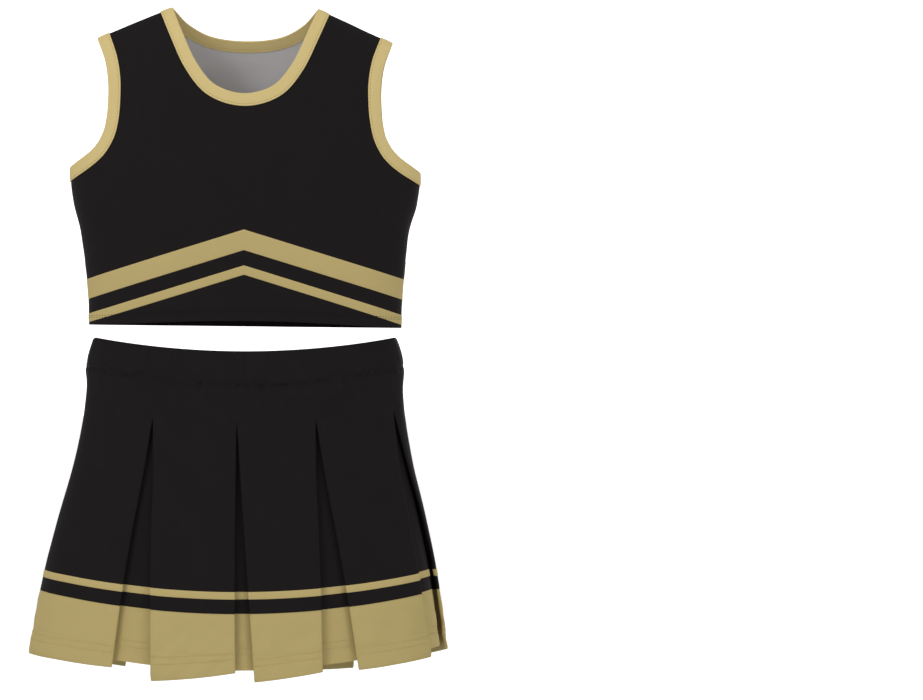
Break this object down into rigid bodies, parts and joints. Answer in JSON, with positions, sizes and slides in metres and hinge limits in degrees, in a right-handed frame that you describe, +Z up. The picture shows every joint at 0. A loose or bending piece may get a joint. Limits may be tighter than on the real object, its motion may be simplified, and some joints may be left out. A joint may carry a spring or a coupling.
{
  "type": "cheerleading uniform",
  "caption": "Sleeveless scoop-neck crop top with chevron braid and bound edges, above a box-pleated skirt with a yoke, a braid stripe and a wide contrast hem.",
  "frame": {"origin": "centre of the skirt's waist opening, level with the waistband's top edge at the side seams", "axes": "+Z up along the wearer's spine, -Y towards the front, +X towards the wearer's left"},
  "size_m": [0.3976, 0.174, 0.6348],
  "materials": {
    "black_knit": "matte double knit",
    "gold_knit": "matte double knit",
    "gold_braid": "matte braid",
    "gold_binding": "soft sheen knit",
    "stay_tape": "matte tape",
    "elastic": "woven elastic"
  },
  "bodies": {
    "skirt": {"waistband_front": "black_knit", "waistband_back": "black_knit", "waist_elastic": "elastic", "skirt_yoke_front": "black_knit", "skirt_yoke_back": "black_knit"},
    "top": {"armhole_binding_left": "gold_binding", "armhole_binding_right": "gold_binding", "narrow_chevron_back": "gold_braid", "narrow_chevron_front": "gold_braid", "neck_binding_back": "gold_binding", "neck_binding_front": "gold_binding", "shoulder_tape_left": "stay_tape", "shoulder_tape_right": "stay_tape", "top_back_panel": "black_knit", "top_front_panel": "black_knit", "wide_chevron_back": "gold_braid", "wide_chevron_front": "gold_braid"},
    "panel_side_front_right": {"panel_side_front_right": "black_knit", "panel_stripe_side_front_right": "gold_braid", "panel_hem_side_front_right": "gold_knit"},
    "panel_front_left": {"panel_front_left": "black_knit", "panel_stripe_front_left": "gold_braid", "panel_hem_front_left": "gold_knit"},
    "panel_side_front_left": {"panel_side_front_left": "black_knit", "panel_stripe_side_front_left": "gold_braid", "panel_hem_side_front_left": "gold_knit"},
    "panel_side_back_left": {"panel_side_back_left": "black_knit", "panel_stripe_side_back_left": "gold_braid", "panel_hem_side_back_left": "gold_knit"},
    "panel_back_left": {"panel_back_left": "black_knit", "panel_stripe_back_left": "gold_braid", "panel_hem_back_left": "gold_knit"},
    "panel_back_right": {"panel_back_right": "black_knit", "panel_stripe_back_right": "gold_braid", "panel_hem_back_right": "gold_knit"},
    "panel_side_back_right": {"panel_side_back_right": "black_knit", "panel_stripe_side_back_right": "gold_braid", "panel_hem_side_back_right": "gold_knit"},
    "panel_front_right": {"panel_front_right": "black_knit", "panel_stripe_front_right": "gold_braid", "panel_hem_front_right": "gold_knit"},
    "underlay_centre_front": {"underlay_centre_front": "black_knit", "underlay_trim_centre_front": "gold_knit"},
    "underlay_front_left": {"underlay_front_left": "black_knit", "underlay_trim_front_left": "gold_knit"},
    "underlay_side_left": {"underlay_side_left": "black_knit", "underlay_trim_side_left": "gold_knit"},
    "underlay_back_left": {"underlay_back_left": "black_knit", "underlay_trim_back_left": "gold_knit"},
    "underlay_centre_back": {"underlay_centre_back": "black_knit", "underlay_trim_centre_back": "gold_knit"},
    "underlay_back_right": {"underlay_back_right": "black_knit", "underlay_trim_back_right": "gold_knit"},
    "underlay_side_right": {"underlay_side_right": "black_knit", "underlay_trim_side_right": "gold_knit"},
    "underlay_front_right": {"underlay_front_right": "black_knit", "underlay_trim_front_right": "gold_knit"}
  },
  "joints": [
    {"name": "top_lift", "type": "slide", "parent": "skirt", "child": "top", "axis": [0, 0, 1], "range_m": [0, 0.35]},
    {"name": "side_front_right_panel_swing", "type": "hinge", "parent": "skirt", "child": "panel_side_front_right", "pos_m": [-0.14199, -0.02413, -0.07756], "axis": [-0.7435, 0.6688, 0], "range_deg": [0, 15]},
    {"name": "front_left_panel_swing", "type": "hinge", "parent": "skirt", "child": "panel_front_left", "pos_m": [0.03485, -0.05045, -0.08887], "axis": [-0.999, -0.0439, 0], "range_deg": [0, 15]},
    {"name": "side_front_left_panel_swing", "type": "hinge", "parent": "skirt", "child": "panel_side_front_left", "pos_m": [0.11518, -0.03809, -0.08167], "axis": [-0.947, -0.3211, 0], "range_deg": [0, 15]},
    {"name": "side_back_left_panel_swing", "type": "hinge", "parent": "skirt", "child": "panel_side_back_left", "pos_m": [0.14754, 0.01827, -0.0766], "axis": [0.5679, -0.8231, 0], "range_deg": [0, 15]},
    {"name": "back_left_panel_swing", "type": "hinge", "parent": "skirt", "child": "panel_back_left", "pos_m": [0.06241, 0.04851, -0.08727], "axis": [0.9947, -0.1025, 0], "range_deg": [0, 15]},
    {"name": "back_right_panel_swing", "type": "hinge", "parent": "skirt", "child": "panel_back_right", "pos_m": [-0.02851, 0.05069, -0.08911], "axis": [0.9996, 0.0295, 0], "range_deg": [0, 15]},
    {"name": "side_back_right_panel_swing", "type": "hinge", "parent": "skirt", "child": "panel_side_back_right", "pos_m": [-0.1227, 0.0353, -0.0806], "axis": [0.929, 0.3702, 0], "range_deg": [0, 15]},
    {"name": "front_right_panel_swing", "type": "hinge", "parent": "skirt", "child": "panel_front_right", "pos_m": [-0.04992, -0.04959, -0.0881], "axis": [-0.9973, 0.0728, 0], "range_deg": [0, 15]},
    {"name": "centre_front_underlay_swing", "type": "hinge", "parent": "skirt", "child": "underlay_centre_front", "pos_m": [-0.00875, -0.04525, -0.08955], "axis": [-1, 0.0072, 0], "range_deg": [0, 9.8]},
    {"name": "front_left_underlay_swing", "type": "hinge", "parent": "skirt", "child": "underlay_front_left", "pos_m": [0.0714, -0.04164, -0.08648], "axis": [-0.9919, -0.1272, 0], "range_deg": [0, 9.8]},
    {"name": "side_left_underlay_swing", "type": "hinge", "parent": "skirt", "child": "underlay_side_left", "pos_m": [0.14145, -0.01656, -0.0769], "axis": [-0.6606, -0.7507, 0], "range_deg": [0, 9.8]},
    {"name": "back_left_underlay_swing", "type": "hinge", "parent": "skirt", "child": "underlay_back_left", "pos_m": [0.10069, 0.03627, -0.08337], "axis": [0.9694, -0.2455, 0], "range_deg": [0, 9.8]},
    {"name": "centre_back_underlay_swing", "type": "hinge", "parent": "skirt", "child": "underlay_centre_back", "pos_m": [0.02053, 0.0451, -0.08934], "axis": [0.9998, -0.0219, 0], "range_deg": [0, 9.8]},
    {"name": "back_right_underlay_swing", "type": "hinge", "parent": "skirt", "child": "underlay_back_right", "pos_m": [-0.06382, 0.04253, -0.08711], "axis": [0.9944, 0.1057, 0], "range_deg": [0, 9.8]},
    {"name": "side_right_underlay_swing", "type": "hinge", "parent": "skirt", "child": "underlay_side_right", "pos_m": [-0.14545, 0.01047, -0.07602], "axis": [0.4147, 0.9099, 0], "range_deg": [0, 9.8]},
    {"name": "front_right_underlay_swing", "type": "hinge", "parent": "skirt", "child": "underlay_front_right", "pos_m": [-0.08827, -0.03898, -0.08483], "axis": [-0.9824, 0.1866, 0], "range_deg": [0, 9.8]}
  ],
  "couplings": [
    {"joint": "front_left_panel_swing", "follows": "side_front_right_panel_swing", "ratio": 1},
    {"joint": "side_front_left_panel_swing", "follows": "side_front_right_panel_swing", "ratio": 1},
    {"joint": "side_back_left_panel_swing", "follows": "side_front_right_panel_swing", "ratio": 1},
    {"joint": "back_left_panel_swing", "follows": "side_front_right_panel_swing", "ratio": 1},
    {"joint": "back_right_panel_swing", "follows": "side_front_right_panel_swing", "ratio": 1},
    {"joint": "side_back_right_panel_swing", "follows": "side_front_right_panel_swing", "ratio": 1},
    {"joint": "front_right_panel_swing", "follows": "side_front_right_panel_swing", "ratio": 1},
    {"joint": "centre_front_underlay_swing", "follows": "side_front_right_panel_swing", "ratio": 0.65},
    {"joint": "front_left_underlay_swing", "follows": "side_front_right_panel_swing", "ratio": 0.65},
    {"joint": "side_left_underlay_swing", "follows": "side_front_right_panel_swing", "ratio": 0.65},
    {"joint": "back_left_underlay_swing", "follows": "side_front_right_panel_swing", "ratio": 0.65},
    {"joint": "centre_back_underlay_swing", "follows": "side_front_right_panel_swing", "ratio": 0.65},
    {"joint": "back_right_underlay_swing", "follows": "side_front_right_panel_swing", "ratio": 0.65},
    {"joint": "side_right_underlay_swing", "follows": "side_front_right_panel_swing", "ratio": 0.65},
    {"joint": "front_right_underlay_swing", "follows": "side_front_right_panel_swing", "ratio": 0.65}
  ]
}
